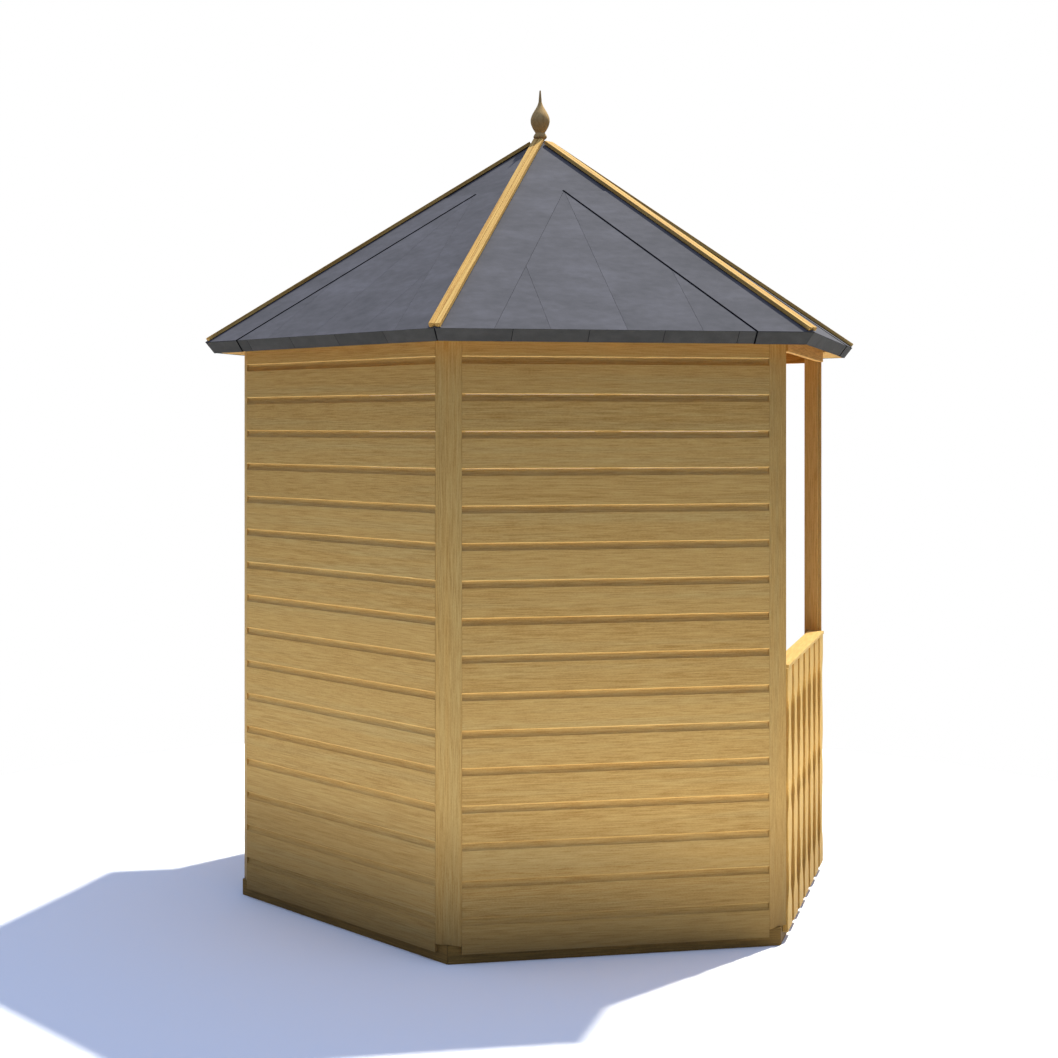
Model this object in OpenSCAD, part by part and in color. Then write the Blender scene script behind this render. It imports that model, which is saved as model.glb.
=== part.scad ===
// Hexagonal timber garden gazebo: three shiplap walls, two half-height slatted panels,
// an open entrance, a boarded floor and a felted hexagonal roof with a turned finial.
// Millimetres, +Z up, origin at the centre of the base on the ground, entrance faces -Y.

/* [Plan] */
// Length of one side of the hexagon, measured on the outer cladding faces
wall_side = 1069; // [900:1:1300]
// Play left at every timber joint
joint_gap = 0.2; // [0.1:0.05:0.4]

/* [Base and floor] */
// Height of the base rim, which is also the floor level
base_h = 55; // [48:1:90]
// Thickness of the rim boards
rim_t = 28; // [20:1:36]
// Thickness of the floor boards
floor_t = 16; // [12:1:22]
// Width of one floor joist
joist_w = 38; // [28:1:60]
// Number of floor joists, odd so that one runs through the centre
joist_count = 7; // [5:2:9]

/* [Shiplap walls] */
// Thickness of the cladding boards, the corner boards and the header boards
clad_t = 12; // [11:0.5:18]
// Height from one board to the next
board_pitch = 112; // [95:1:140]
// Height of the hollow moulding between two boards
groove_h = 30; // [20:1:36]
// Depth of the hollow moulding
groove_d = 7; // [5:0.5:8]
// Height of the bevel on the lower edge of each board
lip_h = 9; // [5:0.5:12]
// Depth of the bevel on the lower edge of each board
lip_d = 4; // [2:0.5:5]
// Height of the plain face of the lowest board
first_board_h = 85; // [60:1:100]
// How far cladding and slats hang down over the base rim
base_lap = 24; // [10:1:35]

/* [Framing] */
// Width of the studs and rails
stud_w = 28; // [24:1:40]
// Depth of the studs and rails, from the cladding to the room
stud_d = 48; // [38:1:64]
// Height of the middle rail of the solid walls above the floor
mid_rail_up = 880; // [700:1:1000]
// Distance of a corner board's edges from the line where two cladding faces would meet
corner_set = 49; // [44:1:58]
// Depth of the headers over the openings, down from the wall top
header_h = 67; // [50:1:90]

/* [Half-height panels] */
// Height of the sill's top above the ground
sill_top = 866; // [800:1:930]
// Thickness of the sill
sill_t = 12; // [10:1:18]
// How far the sill stands out over the slats and into the room
sill_lip = 3; // [0:1:10]
// Width of the sill
sill_w = 55; // [48:1:66]
// Number of slats in one panel
slat_count = 7; // [6:1:8]
// Thickness of a slat
slat_t = 17; // [14:1:22]
// Width of a slat at its square ends
slat_w = 100; // [90:1:110]
// Width of a slat at its waist, in the middle
waist_w = 56; // [44:1:66]
// Width of a slat at its two bellies
belly_w = 92; // [76:1:100]
// Distance of a belly from the middle of the slat
belly_up = 66; // [50:1:80]
// Width of a slat at its two necks
neck_w = 45; // [36:1:60]
// Distance of a neck from the middle of the slat
slat_neck_up = 270; // [240:1:290]
// Distance of a square end's start from the middle of the slat
slat_end_up = 345; // [320:1:360]

/* [Roof] */
// Slope of the roof faces, in degrees
roof_pitch = 35; // [30:0.5:40]
// Height of the upper edge of the eaves
eave_z = 1897; // [1850:1:1960]
// How far the eaves stand out beyond the cladding
eave_out = 99; // [70:1:120]
// Thickness of the roofing felt
felt_t = 3; // [2:0.5:5]
// Thickness of the roof boards
roof_board_t = 12; // [10:1:18]
// Depth of the rafters and eaves rails
rafter_d = 32; // [26:1:44]
// Width of the rafters and eaves rails
rafter_w = 38; // [28:1:50]
// Width of one strip of a hip cap
cap_w = 18; // [16:1:24]
// Thickness of one strip of a hip cap
cap_t = 16; // [10:1:20]
// Distance from the roof's axis to the upper end of the hip caps
cap_stop = 35; // [30:1:50]
// Radius of the block under the apex, to its corners
block_r = 62; // [55:1:80]
// Height of the block under the apex
block_h = 110; // [90:1:150]

/* [Finial] */
// Diameter of the dowel that holds the finial in the apex block
dowel_d = 20; // [16:1:24]
// Length of the dowel below the finial's foot
dowel_l = 70; // [62:1:80]
// Diameter of the foot
foot_d = 30; // [26:1:34]
// Height of the foot
foot_h = 16; // [12:1:20]
// Diameter of the ring above the foot
ring_d = 48; // [42:1:56]
// Height of the middle of the ring above the seat
ring_up = 29; // [26:1:34]
// Diameter of the finial's neck
neck_d = 33; // [26:1:40]
// Height of the neck above the seat
neck_up = 42; // [40:1:50]
// Largest diameter of the bulb
bulb_d = 67; // [50:1:80]
// Height of the widest place of the bulb above the seat
bulb_up = 85; // [74:1:96]
// Diameter where the spike leaves the bulb
spike_d = 12; // [9:1:16]
// Height where the spike leaves the bulb
spike_up = 148; // [136:1:160]
// Diameter of the spike's tip
tip_d = 5; // [3:0.5:8]
// Height of the tip above the seat
tip_up = 192; // [170:1:230]

/* [Hidden] */

// Directions in which the six sides face, and of the six corners
RIGHT = 30;
BACK = 90;
LEFT = 150;
FRONT_LEFT = 210;
FRONT = 270;
FRONT_RIGHT = 330;
CORNER_RIGHT = 0;
CORNER_BACK_RIGHT = 60;
CORNER_BACK_LEFT = 120;
CORNER_LEFT = 180;
CORNER_FRONT_LEFT = 240;
CORNER_FRONT_RIGHT = 300;

// Timber and felt colours
WALL_WOOD = [0.72, 0.56, 0.32];
TRIM_WOOD = [0.80, 0.63, 0.37];
FRAME_WOOD = [0.66, 0.47, 0.25];
FELT_GREY = [0.38, 0.39, 0.43];
FINIAL_WOOD = [0.55, 0.41, 0.26];

// Plan of the hexagon
half_turn = 180;
quarter_turn = 90;
sector = 30;
face_apothem = wall_side * cos(sector);
wall_t = clad_t + stud_d;
rim_apothem = face_apothem - clad_t;
floor_apothem = rim_apothem - rim_t;
function half_width(y) = (face_apothem + y) * tan(sector);

// End studs stand square, with their inner corners on the corner lines
stud_out = half_width(-wall_t) - joint_gap;
stud_in = stud_out - stud_w;
frame_front = -clad_t - joint_gap;
board_end = wall_side / 2 - corner_set;
stud_bevel = (stud_out - board_end) * tan(sector);
slat_front = slat_t - clad_t;

// Heights of the walls
clad_bottom = base_h - base_lap;
joist_h = base_h - floor_t;
roof_t = felt_t + roof_board_t + rafter_d;
eave_apothem = face_apothem + eave_out;
wall_top = eave_z + eave_out * tan(roof_pitch) - roof_t / cos(roof_pitch) - joint_gap;
header_z = wall_top - header_h;
top_rail_z = wall_top - stud_w;
mid_rail_z = base_h + mid_rail_up;
sill_z = sill_top - sill_t;

// Roof triangle, in the plane of one face
slope_l = eave_apothem / cos(roof_pitch);
half_eave = eave_apothem * tan(sector);
hip_plan = eave_apothem / cos(sector);
hip_l = norm([half_eave, slope_l]);
hip_lean = atan2(half_eave, slope_l);
apex_z = eave_z + eave_apothem * tan(roof_pitch);
deck_drop = (felt_t + roof_board_t) / cos(roof_pitch);
block_apothem = block_r * cos(sector);
block_top = apex_z - block_apothem * tan(roof_pitch) - deck_drop - joint_gap;
dowel_hole_r = dowel_d / 2 + joint_gap;
seat_z = apex_z - dowel_hole_r * tan(roof_pitch) + joint_gap;

// Smoothness of turned pieces and of curves in outlines
turn_fn = 48;
curve_steps = 6;
ease_steps = 8;

// Puts children on the outer face of a side: x along it, y outwards, z up
module on_side(facing)
    rotate([0, 0, facing - BACK])
        translate([0, face_apothem, 0])
            children();

// Puts children on a roof face: x along the eaves, y up the slope, z off the felt
module on_slope(facing)
    rotate([0, 0, facing - BACK])
        translate([0, eave_apothem, eave_z])
            rotate([0, 0, half_turn])
                rotate([roof_pitch, 0, 0])
                    children();

// Upright sector that belongs to one side, with the joint's play on both flanks
module side_sector(facing) {
    reach = hip_plan + eave_out;
    tip = joint_gap / sin(sector);
    rotate([0, 0, facing])
        linear_extrude(apex_z + rafter_w)
            polygon([
                [tip, 0],
                [reach, -(reach - tip) * tan(sector)],
                [reach, (reach - tip) * tan(sector)]
            ]);
}

// Prism along a side from an outline in y and z, centred on the side
module along_side(length)
    translate([-length / 2, 0, 0])
        rotate([90, 0, 90])
            linear_extrude(length)
                children();

// Stud, rail or board as a box, from two opposite corners
module timber(low, high)
    translate(low)
        cube(high - low);

// Board with mitred ends on the corner lines, from an inner to an outer y
module mitred_board(y_in, y_out, z_low, z_high) {
    end_gap = joint_gap / cos(sector);
    translate([0, 0, z_low])
        linear_extrude(z_high - z_low)
            polygon([
                [-half_width(y_in) + end_gap, y_in],
                [half_width(y_in) - end_gap, y_in],
                [half_width(y_out) - end_gap, y_out],
                [-half_width(y_out) + end_gap, y_out]
            ]);
}

// Hexagonal plate with flat sides towards the walls
module hex_plate(apothem, height)
    cylinder(r = apothem / cos(sector), h = height, $fn = 6);

// Six rim boards with mitred ends and the joists between them
module floor_frame() {
    joist_run = floor_apothem - joint_gap;
    spacing = 2 * floor_apothem / (joist_count + 1);
    middle = (joist_count + 1) / 2;
    color(FRAME_WOOD) {
        for (facing = [RIGHT : 2 * sector : FRONT_RIGHT])
            on_side(facing)
                mitred_board(-clad_t - rim_t, -clad_t, 0, base_h);
        intersection() {
            hex_plate(joist_run, joist_h - joint_gap);
            for (i = [1 : joist_count])
                translate([-wall_side, (i - middle) * spacing - joist_w / 2, 0])
                    cube([2 * wall_side, joist_w, joist_h]);
        }
    }
}

module floor_boards()
    color(TRIM_WOOD)
        translate([0, 0, joist_h])
            hex_plate(floor_apothem - joint_gap, floor_t);

// Outline of one hollow moulding cut into the cladding face, from its lower edge up
function groove_outline(z) =
    let (
        cove_h = groove_h - lip_h,
        cove_r = (groove_d * groove_d + cove_h * cove_h) / (2 * groove_d),
        sweep = asin(cove_h / cove_r)
    )
    concat(
        [for (i = [0 : curve_steps])
            let (a = sweep * (1 - i / curve_steps))
            [cove_r * (1 - cos(a)) - groove_d, z + cove_h - cove_r * sin(a)]],
        [[-lip_d, z + cove_h], [0, z + groove_h]]
    );

// Shiplap cladding between the corner boards of one side
module cladding(facing) {
    first_z = clad_bottom + first_board_h;
    grooves = floor((wall_top - groove_h - first_z) / board_pitch);
    outline = concat(
        [[-clad_t, clad_bottom], [0, clad_bottom]],
        [for (k = [0 : grooves]) each groove_outline(first_z + k * board_pitch)],
        [[0, wall_top], [-clad_t, wall_top]]
    );
    color(WALL_WOOD)
        on_side(facing)
            along_side(2 * (board_end - joint_gap))
                polygon(outline);
}

// Plan of the framing of a side between two x positions, bevelled behind the corner boards
module framing_plan(x_low, x_high)
    intersection() {
        translate([x_low, -wall_t])
            square([x_high - x_low, stud_d]);
        polygon([
            [-stud_out, -wall_t], [stud_out, -wall_t],
            [stud_out, frame_front - stud_bevel], [board_end, frame_front],
            [-board_end, frame_front], [-stud_out, frame_front - stud_bevel]
        ]);
    }

// Top rail of a side, cut to lie under the roof's slope
module top_rail(z_low)
    intersection() {
        along_side(2 * stud_out)
            polygon([
                [frame_front, z_low],
                [frame_front, wall_top - frame_front * tan(roof_pitch)],
                [-wall_t, wall_top + wall_t * tan(roof_pitch)],
                [-wall_t, z_low]
            ]);
        translate([0, 0, z_low])
            linear_extrude(apex_z - z_low)
                framing_plan(-stud_out, stud_out);
    }

// Two end studs, from the floor up to the underside of the top rail
module end_studs(z_high)
    translate([0, 0, base_h])
        linear_extrude(z_high - joint_gap - base_h) {
            framing_plan(-stud_out, -stud_in);
            framing_plan(stud_in, stud_out);
        }

// Rail between two x positions, with play at both ends
module rail(x_low, x_high, z_low)
    timber(
        [x_low + joint_gap, -wall_t, z_low],
        [x_high - joint_gap, frame_front, z_low + stud_w]
    );

// Studs and rails behind the cladding of a solid wall
module wall_frame(facing) {
    mid_stud = stud_w / 2;
    color(FRAME_WOOD)
        on_side(facing) {
            top_rail(top_rail_z);
            end_studs(top_rail_z);
            rail(-stud_in, stud_in, base_h);
            timber(
                [-mid_stud, -wall_t, base_h + stud_w + joint_gap],
                [mid_stud, frame_front, top_rail_z - joint_gap]
            );
            rail(-stud_in, -mid_stud, mid_rail_z);
            rail(mid_stud, stud_in, mid_rail_z);
        }
}

// Studs, rails and header of a half-height panel
module half_panel_frame(facing)
    color(FRAME_WOOD)
        on_side(facing) {
            top_rail(top_rail_z);
            end_studs(top_rail_z);
            rail(-stud_in, stud_in, base_h);
            rail(-stud_in, stud_in, sill_z - stud_w - joint_gap);
            header_board();
        }

// Facing board over an opening, in line with the slats, between the corner boards
module header_board() {
    half_l = board_end - joint_gap;
    top = wall_top - slat_front * tan(roof_pitch);
    timber([-half_l, -clad_t, header_z], [half_l, slat_front, top]);
}

// Size eased between two others, level at both ends
function eased(low, high, t) = low + (high - low) * (1 - cos(half_turn * t)) / 2;

// Points of a waved edge from one [height, width] to the next, without the last one
function waved(low, high) = [
    for (i = [0 : ease_steps - 1])
        [eased(low[1], high[1], i / ease_steps) / 2, low[0] + (high[0] - low[0]) * i / ease_steps]
];

// Points of a waved edge through all the given [height, width] stations
function waved_edge(stations) = concat(
    [for (i = [0 : len(stations) - 2]) each waved(stations[i], stations[i + 1])],
    [[stations[len(stations) - 1][1] / 2, stations[len(stations) - 1][0]]]
);

// Outline of a slat from its middle up, mirrored to all four quarters
module slat_outline(length) {
    edge = concat(
        waved_edge([
            [0, waist_w], [belly_up, belly_w], [slat_neck_up, neck_w], [slat_end_up, slat_w]
        ]),
        [[slat_w / 2, length / 2]]
    );
    last = len(edge) - 1;
    upper_half = concat(edge, [for (i = [last : -1 : 0]) [-edge[i][0], edge[i][1]]]);
    lower_half = [for (i = [1 : len(upper_half) - 2]) [-upper_half[i][0], -upper_half[i][1]]];
    polygon(concat(upper_half, lower_half));
}

// Flat slats with waved edges, side by side between the corner boards
module half_panel_slats(facing) {
    length = sill_z - joint_gap - clad_bottom;
    pitch = (2 * (board_end - joint_gap) - slat_w) / (slat_count - 1);
    middle = (slat_count + 1) / 2;
    color(TRIM_WOOD)
        on_side(facing)
            for (i = [1 : slat_count])
                translate([(i - middle) * pitch, slat_front, clad_bottom + length / 2])
                    rotate([90, 0, 0])
                        linear_extrude(slat_t)
                            slat_outline(length);
}

// Sill over the slats, notched round the end studs, between the corner boards
module half_panel_sill(facing) {
    end_x = board_end - joint_gap;
    notch_x = stud_in - joint_gap;
    front = slat_front + sill_lip;
    right_half = [
        [end_x, front], [end_x, -clad_t],
        [notch_x, -clad_t], [notch_x, front - sill_w]
    ];
    left_half = [for (i = [3 : -1 : 0]) [-right_half[i][0], right_half[i][1]]];
    color(TRIM_WOOD)
        on_side(facing)
            translate([0, 0, sill_z])
                linear_extrude(sill_t)
                    polygon(concat(right_half, left_half));
}

// Beam and facing board over the entrance, carried by the corners beside it
module entrance_lintel()
    color(FRAME_WOOD)
        on_side(FRONT) {
            top_rail(top_rail_z);
            header_board();
        }

// Flat board across one corner, its edges against the ends of the boards beside it
module corner_board(corner) {
    front = wall_side - corner_set / 2;
    half_front = corner_set * cos(sector);
    back = front - clad_t * cos(sector);
    half_back = half_front - clad_t * sin(sector);
    color(TRIM_WOOD)
        rotate([0, 0, corner])
            translate([0, 0, base_h])
                linear_extrude(wall_top - base_h)
                    polygon([
                        [back, -half_back], [front, -half_front],
                        [front, half_front], [back, half_back]
                    ]);
}

// Strip of rectangular section along one hip: across from the hip into the face, off the felt, from and to
module hip_strip(hand, across_low, across_high, off_low, off_high, from, to)
    mirror([hand < 0 ? 1 : 0, 0, 0])
        translate([half_eave, 0, 0])
            rotate([0, 0, BACK + hip_lean])
                timber([from, across_low, off_low], [to, across_high, off_high]);

// Eaves rail, middle rafter and two hip rafters of one face, under the boards
module roof_framing(rail_high) {
    rail_end = felt_t + rafter_w;
    rafter_y = rail_end + joint_gap;
    rafter_top = slope_l - (rafter_w / 2 + joint_gap + rafter_w / cos(hip_lean)) / tan(hip_lean);
    hip_from = rafter_y / cos(hip_lean) + rafter_w * tan(hip_lean);
    timber([-half_eave, felt_t, -roof_t], [half_eave, rail_end, rail_high]);
    timber([-rafter_w / 2, rafter_y, -roof_t], [rafter_w / 2, rafter_top, rail_high]);
    for (hand = [-1, 1])
        intersection() {
            hip_strip(hand, -rafter_w, rafter_w, -roof_t, rail_high, hip_from, hip_l);
            mirror([hand < 0 ? 1 : 0, 0, 0])
                timber([joint_gap, 0, -roof_t], [half_eave, slope_l, rail_high]);
        }
}

// Roof boards and framing of one face, cut for the dowel and against the apex block
module roof_panel(facing) {
    deck_low = -felt_t - roof_board_t;
    color(TRIM_WOOD)
        intersection() {
            side_sector(facing);
            union() {
                difference() {
                    on_slope(facing)
                        timber([-half_eave, felt_t, deck_low], [half_eave, slope_l, -felt_t - joint_gap]);
                    cylinder(r = dowel_hole_r, h = apex_z + rafter_w, $fn = turn_fn);
                }
                difference() {
                    on_slope(facing)
                        roof_framing(deck_low - joint_gap);
                    translate([0, 0, block_top - block_h])
                        hex_plate(block_apothem + joint_gap, apex_z);
                }
            }
        }
}

// Felt over one face, folded down over the edge of the eaves
module felt(facing)
    color(FELT_GREY)
        difference() {
            intersection() {
                side_sector(facing);
                on_slope(facing) {
                    timber([-half_eave, 0, -felt_t], [half_eave, slope_l, 0]);
                    timber([-half_eave, 0, -roof_t], [half_eave, felt_t - joint_gap, 0]);
                }
            }
            cylinder(r = dowel_hole_r, h = apex_z + rafter_w, $fn = turn_fn);
        }

// Pair of strips over one hip, meeting on the corner line
module hip_cap(corner) {
    low_end = cap_w * tan(hip_lean);
    top_end = hip_l * (1 - cap_stop / hip_plan);
    color(TRIM_WOOD)
        for (hand = [-1, 1])
            intersection() {
                side_sector(corner + hand * sector);
                on_slope(corner + hand * sector)
                    hip_strip(-hand, -cap_t, cap_w, joint_gap, cap_t, low_end, top_end);
            }
}

// Hexagonal block that the hip rafters meet, bored for the dowel
module apex_block()
    color(FRAME_WOOD)
        translate([0, 0, block_top - block_h])
            difference() {
                hex_plate(block_apothem, block_h);
                cylinder(r = dowel_hole_r, h = block_h, $fn = turn_fn);
            }

// Points of a turned edge that swells from a crease, [height, diameter], to its widest place
function swelling(low, high) = [
    for (i = [0 : ease_steps - 1])
        let (t = i / ease_steps)
        [
            (low[1] + (high[1] - low[1]) * sin(quarter_turn * t)) / 2,
            low[0] + (high[0] - low[0]) * t
        ]
];

// Points of a turned edge that closes in from its widest place, [height, diameter], to a crease
function closing(low, high) = [
    for (i = [0 : ease_steps - 1])
        let (t = i / ease_steps)
        [
            (high[1] + (low[1] - high[1]) * cos(quarter_turn * t)) / 2,
            low[0] + (high[0] - low[0]) * t
        ]
];

// Turned finial: dowel, foot, ring, bulb and spike
module finial() {
    foot = [foot_h, foot_d];
    ring = [ring_up, ring_d];
    neck = [neck_up, neck_d];
    bulb = [bulb_up, bulb_d];
    spike = [spike_up, spike_d];
    outline = concat(
        [[0, -dowel_l], [dowel_d / 2, -dowel_l], [dowel_d / 2, 0], [foot_d / 2, 0]],
        swelling(foot, ring),
        closing(ring, neck),
        swelling(neck, bulb),
        waved(bulb, spike),
        [[spike_d / 2, spike_up], [tip_d / 2, tip_up], [0, tip_up]]
    );
    color(FINIAL_WOOD)
        translate([0, 0, seat_z])
            rotate_extrude($fn = turn_fn)
                polygon(outline);
}

floor_frame();
floor_boards();
cladding(BACK);  // back_wall_cladding
cladding(LEFT);  // left_wall_cladding
cladding(RIGHT);  // right_wall_cladding
wall_frame(BACK);  // back_wall_frame
wall_frame(LEFT);  // left_wall_frame
wall_frame(RIGHT);  // right_wall_frame
half_panel_frame(FRONT_LEFT);  // left_half_panel_frame
half_panel_frame(FRONT_RIGHT);  // right_half_panel_frame
half_panel_slats(FRONT_LEFT);  // left_half_panel_slats
half_panel_slats(FRONT_RIGHT);  // right_half_panel_slats
half_panel_sill(FRONT_LEFT);  // left_half_panel_sill
half_panel_sill(FRONT_RIGHT);  // right_half_panel_sill
entrance_lintel();
corner_board(CORNER_BACK_RIGHT);  // corner_trim_back_right
corner_board(CORNER_BACK_LEFT);  // corner_trim_back_left
corner_board(CORNER_LEFT);  // corner_trim_left
corner_board(CORNER_FRONT_LEFT);  // corner_trim_front_left
corner_board(CORNER_FRONT_RIGHT);  // corner_trim_front_right
corner_board(CORNER_RIGHT);  // corner_trim_right
roof_panel(BACK);  // roof_panel_back
roof_panel(LEFT);  // roof_panel_left
roof_panel(FRONT_LEFT);  // roof_panel_front_left
roof_panel(FRONT);  // roof_panel_front
roof_panel(FRONT_RIGHT);  // roof_panel_front_right
roof_panel(RIGHT);  // roof_panel_right
felt(BACK);  // felt_back
felt(LEFT);  // felt_left
felt(FRONT_LEFT);  // felt_front_left
felt(FRONT);  // felt_front
felt(FRONT_RIGHT);  // felt_front_right
felt(RIGHT);  // felt_right
hip_cap(CORNER_BACK_RIGHT);  // hip_cap_back_right
hip_cap(CORNER_BACK_LEFT);  // hip_cap_back_left
hip_cap(CORNER_LEFT);  // hip_cap_left
hip_cap(CORNER_FRONT_LEFT);  // hip_cap_front_left
hip_cap(CORNER_FRONT_RIGHT);  // hip_cap_front_right
hip_cap(CORNER_RIGHT);  // hip_cap_right
apex_block();
finial();
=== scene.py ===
import math
import random

import bmesh
import bpy
from mathutils import Matrix, Vector


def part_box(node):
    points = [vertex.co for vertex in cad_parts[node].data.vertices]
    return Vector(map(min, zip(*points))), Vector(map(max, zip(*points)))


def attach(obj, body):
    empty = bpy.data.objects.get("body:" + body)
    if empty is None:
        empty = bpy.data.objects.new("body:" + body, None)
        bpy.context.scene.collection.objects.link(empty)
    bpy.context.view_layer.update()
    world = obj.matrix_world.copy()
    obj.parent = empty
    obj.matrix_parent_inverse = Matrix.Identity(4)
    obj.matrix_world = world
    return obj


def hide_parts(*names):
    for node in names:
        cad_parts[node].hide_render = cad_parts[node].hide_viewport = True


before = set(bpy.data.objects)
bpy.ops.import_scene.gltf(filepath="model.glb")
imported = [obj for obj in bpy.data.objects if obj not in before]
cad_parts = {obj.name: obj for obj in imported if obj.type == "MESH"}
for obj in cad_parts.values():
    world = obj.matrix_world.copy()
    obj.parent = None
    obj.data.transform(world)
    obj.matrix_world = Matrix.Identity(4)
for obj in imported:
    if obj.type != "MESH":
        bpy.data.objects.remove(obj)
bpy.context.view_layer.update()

rng = random.Random(11)

# Directions of the six sides and the six corners, in degrees about +Z
FACINGS = {
    "right": 30, "back": 90, "left": 150,
    "front_left": 210, "front": 270, "front_right": 330,
}
CORNERS = {
    "right": 0, "back_right": 60, "back_left": 120,
    "left": 180, "front_left": 240, "front_right": 300,
}
# Half the angle that a side takes up in plan
SECTOR = math.radians(30)
X, Y, Z = 0, 1, 2

# Sizes that the frame gives, in metres
FLOOR_LOW, FLOOR_TOP = (corner.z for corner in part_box("floor_boards"))
FLOOR_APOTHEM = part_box("floor_boards")[1].y
RIM_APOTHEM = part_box("floor_frame")[1].y
CLAD_LOW, CLAD_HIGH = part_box("back_wall_cladding")
FACE_APOTHEM = CLAD_HIGH.y
CLAD_T = CLAD_HIGH.y - CLAD_LOW.y
BOARD_END = CLAD_HIGH.x
CLAD_BOTTOM = CLAD_LOW.z
WALL_TOP = CLAD_HIGH.z
WALL_T = FACE_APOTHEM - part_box("back_wall_frame")[0].y
STUD_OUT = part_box("back_wall_frame")[1].x
HEADER_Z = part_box("entrance_lintel")[0].z
SILL_LOW, SILL_TOP = (corner.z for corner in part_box("left_half_panel_sill"))
CORNER_LOW, CORNER_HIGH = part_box("corner_trim_right")
EAVE_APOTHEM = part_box("felt_back")[1].y
BLOCK_LOW, BLOCK_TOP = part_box("apex_block")

# Sizes of single boards, in metres: PLAY keeps neighbours apart, EASE is the width of an eased edge
PLAY = 0.0002
EASE = 0.0015
STUD_W = 0.028
MID_RAIL_Z = FLOOR_TOP + 0.88
JOIST_W = 0.038
JOIST_COUNT = 7
FLOOR_BOARD_W = 0.095
BOARD_GAP = 0.0008
# Shiplap boards: a lip at the foot, a hollow at the head whose arc runs between two angles
BOARD_PITCH = 0.112
FIRST_BOARD_H = 0.085
COVE_H = 0.021
COVE_FOOT = math.radians(52)
COVE_HEAD = math.radians(-12)
COVE_STEPS = 10
LIP_H = 0.003
LIP_D = 0.004
# Slats: their waved edge has a height above the middle and a width at each station
SLAT_COUNT = 7
SLAT_W = 0.1
SLAT_T = 0.017
SLAT_STATIONS = ((0, 0.056), (0.066, 0.092), (0.27, 0.045), (0.345, SLAT_W))
SLAT_STEPS = 14
SLAT_FRONT = SLAT_T - CLAD_T
SILL_LIP = 0.003
SILL_W = 0.055

# Sizes of the roof, in metres. It is a little steeper in the photograph than in the part.
CAD_PITCH = math.radians(35)
PITCH = math.radians(35.6)
FELT_T = 0.003
ROOF_BOARD_T = 0.012
ROOF_BOARD_W = 0.096
RAFTER_D = 0.032
RAFTER_W = 0.038
ROOF_T = FELT_T + ROOF_BOARD_T + RAFTER_D
EAVE_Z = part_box("felt_back")[0].z + ROOF_T * math.cos(PITCH)
SLOPE_L = EAVE_APOTHEM / math.cos(PITCH)
HALF_EAVE = EAVE_APOTHEM * math.tan(SECTOR)
HIP_L = math.hypot(HALF_EAVE, SLOPE_L)
HIP_LEAN = math.atan2(HALF_EAVE, SLOPE_L)
APEX_Z = EAVE_Z + EAVE_APOTHEM * math.tan(PITCH)
ROOF_LIFT = EAVE_APOTHEM * (math.tan(PITCH) - math.tan(CAD_PITCH))
EAVE_R = EAVE_APOTHEM / math.cos(SECTOR)
HIP_PITCH = math.atan2(APEX_Z - EAVE_Z, EAVE_R)
APEX_CLEAR = 0.018
ROOF_TOP = SLOPE_L - APEX_CLEAR
# Felt: sheets on an underlay, laps beside some hips, joints in the slope and in the fascia
LAP_W = 0.181
LAP_T = 0.002
LAP_SKIN = 0.0004
# Black bead beyond the lap's edge, which paints the shade line along it
LAP_SHADE_BEAD = 0.0045
UNDERLAY_T = 0.0003
FELT_JOINTS = (-0.237, 0.0, 0.237)
FASCIA_JOINTS = (-0.352, -0.117, 0.117, 0.352)
FELT_GAP = 0.0008
FASCIA_GAP = 0.0016
HIP_GAP = 0.0032
# Hip caps: strips bedded into the felt, which stop short of the axis
CAP_W = 0.018
CAP_TOP = 0.0095
CAP_BED = 0.0025
CAP_EASE = 0.0006
CAP_JOINT = 0.0012
CAP_STOP = 0.038
LONG_CAP_STOP = 0.021
LONG_CAPS = ("back_left", "front_right")

# Camera of the photograph: pixels in its frame, places in metres
IMAGE_PX = 1058
FOCAL_PX = 1776.7
CENTRE_PX = (416.3, 426.1)
SENSOR_MM = 36.0
EYE = Vector((-4.4822, 4.4533, 1.6095))
LOOK = Vector((0.7567, -0.6538, 0.0))
FAR_CLIP = 200

# Stage: places in metres, the power of the sun in watts a square metre, of the other lamps in watts
TO_SUN = Vector((0.037, -0.499, 0.866))
SUN_POWER = 4.6
SUN_SPREAD = math.radians(1.5)
SUN_COLOUR = (1.0, 0.97, 0.88)
FLOOR_R = 3.0
FLOOR_SIDES = 96
FLOOR_COLOUR = (0.94, 0.94, 0.94, 1.0)
BOUNCE_L = 1.7
BOUNCE_W = 0.9
BOUNCE_Z = 0.01
BOUNCE_OUT = {"back": 1.05, "left": 0.78, "front_left": 0.8}
BOUNCE_POWER = {"back": 14.5, "left": 7.8, "front_left": 4.5}
SKY_COLOUR = (0.52, 0.65, 1.0, 1.0)
SKY_LOW = 0.06
SKY_HIGH = 1.2
WHITE = (1.0, 1.0, 1.0, 1.0)


# Places
def side_place(facing):
    """Frame on the cladding face of a side: x along it, y outwards, z up."""
    turn = Matrix.Rotation(math.radians(facing - 90), 4, "Z")
    return turn @ Matrix.Translation((0, FACE_APOTHEM, 0))


def slope_place(facing):
    """Frame on a roof face: x along the eaves, y up the slope, z off the felt."""
    turn = Matrix.Rotation(math.radians(facing + 90), 4, "Z")
    return turn @ Matrix.Translation((0, -EAVE_APOTHEM, EAVE_Z)) @ Matrix.Rotation(PITCH, 4, "X")


def half_width(y, z):
    """Half the width of a roof face at a place of its frame, out to the hips."""
    reach = EAVE_APOTHEM - y * math.cos(PITCH) + z * math.sin(PITCH)
    return reach * math.tan(SECTOR) - PLAY


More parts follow.
